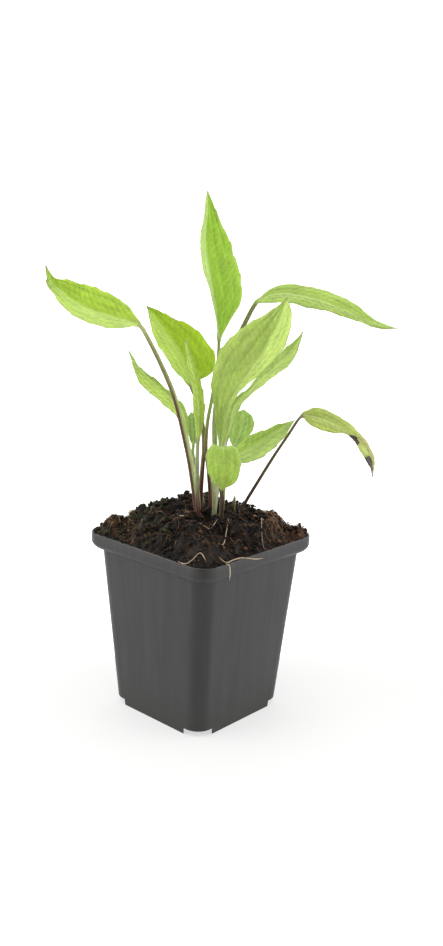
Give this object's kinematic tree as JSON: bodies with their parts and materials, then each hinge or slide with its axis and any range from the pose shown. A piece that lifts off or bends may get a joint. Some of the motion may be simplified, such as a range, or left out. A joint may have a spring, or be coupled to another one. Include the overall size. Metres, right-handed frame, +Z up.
{
  "type": "potted plant",
  "caption": "Young leafy purple coneflower plant, without flowers, in a square tapered nursery pot filled with potting soil.",
  "frame": {"origin": "on the ground, under the middle of the object's outline; the pot's own axis is 7.3 mm towards -X of it", "axes": "+Z up; the square pot stands with one corner towards -Y, and its leaves spread widest along X"},
  "size_m": [0.1786, 0.1188, 0.2806],
  "materials": {
    "pot_plastic": "matt, thin, slightly dusty moulded plastic",
    "soil": null,
    "leaf_green": null
  },
  "bodies": {
    "root": {"pot": "pot_plastic", "soil": "soil", "leaf_top": "leaf_green", "leaf_left_high": "leaf_green", "leaf_left_broad": "leaf_green", "leaf_centre": "leaf_green", "leaf_narrow": "leaf_green", "leaf_right_mid": "leaf_green", "leaf_right_high": "leaf_green", "leaf_left_low": "leaf_green", "leaf_back_left": "leaf_green", "leaf_back_right": "leaf_green", "leaf_right_low": "leaf_green", "leaf_front": "leaf_green", "leaf_right_droop": "leaf_green"}
  },
  "joints": []
}
